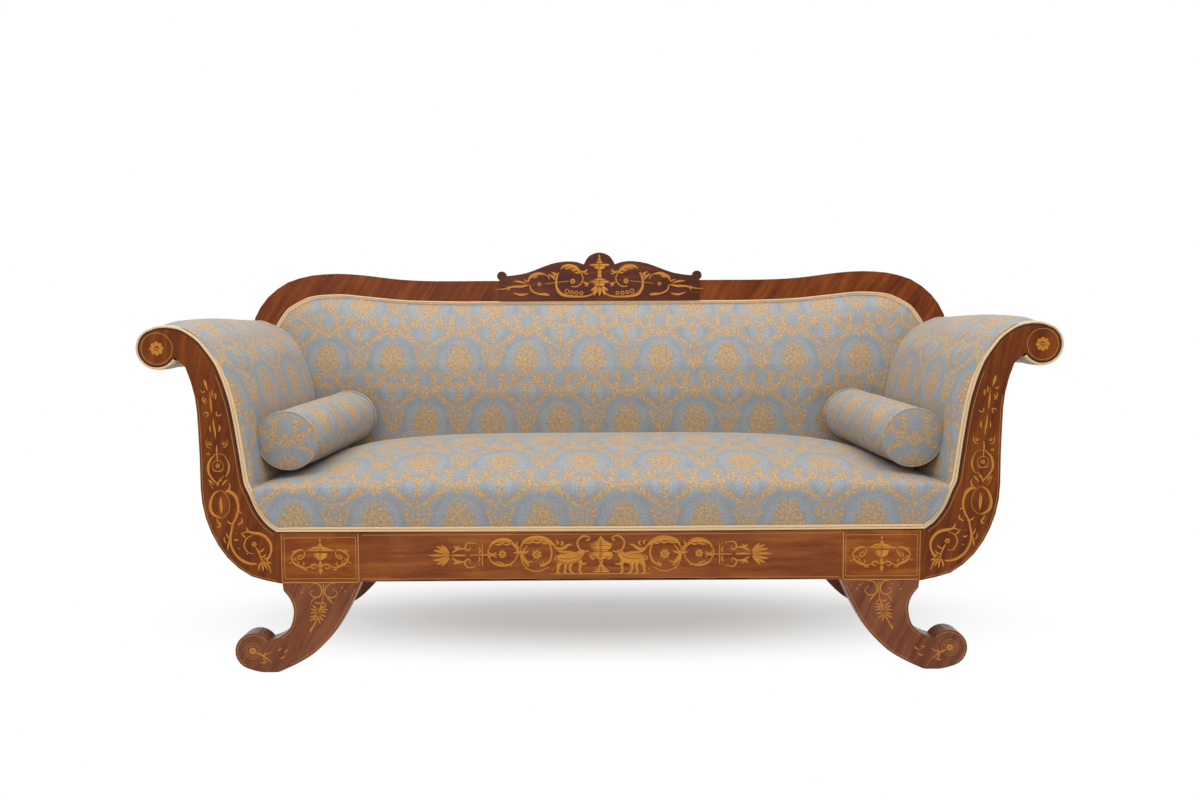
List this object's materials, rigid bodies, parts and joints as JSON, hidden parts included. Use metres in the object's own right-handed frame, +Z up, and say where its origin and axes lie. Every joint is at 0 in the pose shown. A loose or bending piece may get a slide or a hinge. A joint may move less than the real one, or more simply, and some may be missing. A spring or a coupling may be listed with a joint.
{
  "type": "recamier",
  "caption": "Long scroll-arm sofa with inlaid mahogany frame, sabre scroll legs, shaped crest rail, sprung seat, upholstered back and arms, and loose bolsters.",
  "frame": {"origin": "middle of the bounding box, on the floor plane that the feet stand on", "axes": "+X along the length to the right as seen from the front, +Y towards the back, +Z up"},
  "size_m": [2.268, 0.7006, 1.065],
  "materials": {
    "mahogany": "french polished veneer with light-wood inlay",
    "beech": "planed, unpolished",
    "lampas": "grey-blue lampas with a gold pattern",
    "gimp_cord": "cream double piping",
    "hessian": "plain jute weave",
    "horsehair": "loose curled filling",
    "spring_steel": "drawn wire"
  },
  "bodies": {
    "sofa": {"front_rail": "mahogany", "rear_rail": "beech", "side_rail_right": "beech", "side_rail_left": "beech", "cross_rail_right": "beech", "cross_rail_left": "beech", "front_block_right": "mahogany", "front_block_left": "mahogany", "rear_block_right": "beech", "rear_block_left": "beech", "front_leg_right": "mahogany", "front_leg_left": "mahogany", "rear_leg_right": "mahogany", "rear_leg_left": "mahogany", "front_leg_dowel_right": "beech", "front_leg_dowel_left": "beech", "rear_leg_dowel_right": "beech", "rear_leg_dowel_left": "beech", "arm_facing_right": "mahogany", "arm_facing_left": "mahogany", "arm_rear_board_right": "beech", "arm_rear_board_left": "beech", "arm_roll_rail_right": "beech", "arm_roll_rail_left": "beech", "arm_lower_rail_right": "beech", "arm_lower_rail_left": "beech", "arm_hessian_right": "hessian", "arm_hessian_left": "hessian", "arm_pad_right": "lampas", "arm_pad_left": "lampas", "arm_outer_cover_right": "lampas", "arm_outer_cover_left": "lampas", "seat_gimp": "gimp_cord", "back_crest_rail": "mahogany", "back_cartouche": "mahogany", "back_stile_right": "beech", "back_stile_left": "beech", "back_bottom_rail": "beech", "back_muntin": "beech", "back_hessian": "hessian", "back_pad": "lampas", "back_gimp": "gimp_cord", "back_outer_cover": "lampas", "seat_webbing": "hessian", "seat_spring_row_1": "spring_steel", "seat_spring_row_2": "spring_steel", "seat_spring_row_3": "spring_steel", "seat_hessian": "hessian", "seat_pad": "lampas", "seat_bottom_cloth": "hessian"},
    "bolster_right": {"bolster_case_right": "lampas", "bolster_front_disc_right": "lampas", "bolster_back_disc_right": "lampas", "bolster_filling_right": "horsehair"},
    "bolster_left": {"bolster_case_left": "lampas", "bolster_front_disc_left": "lampas", "bolster_back_disc_left": "lampas", "bolster_filling_left": "horsehair"}
  },
  "joints": [
    {"name": "lift_bolster_right", "type": "slide", "parent": "sofa", "child": "bolster_right", "axis": [0, 0, 1], "range_m": [0, 0.45]},
    {"name": "lift_bolster_left", "type": "slide", "parent": "sofa", "child": "bolster_left", "axis": [0, 0, 1], "range_m": [0, 0.45]}
  ]
}
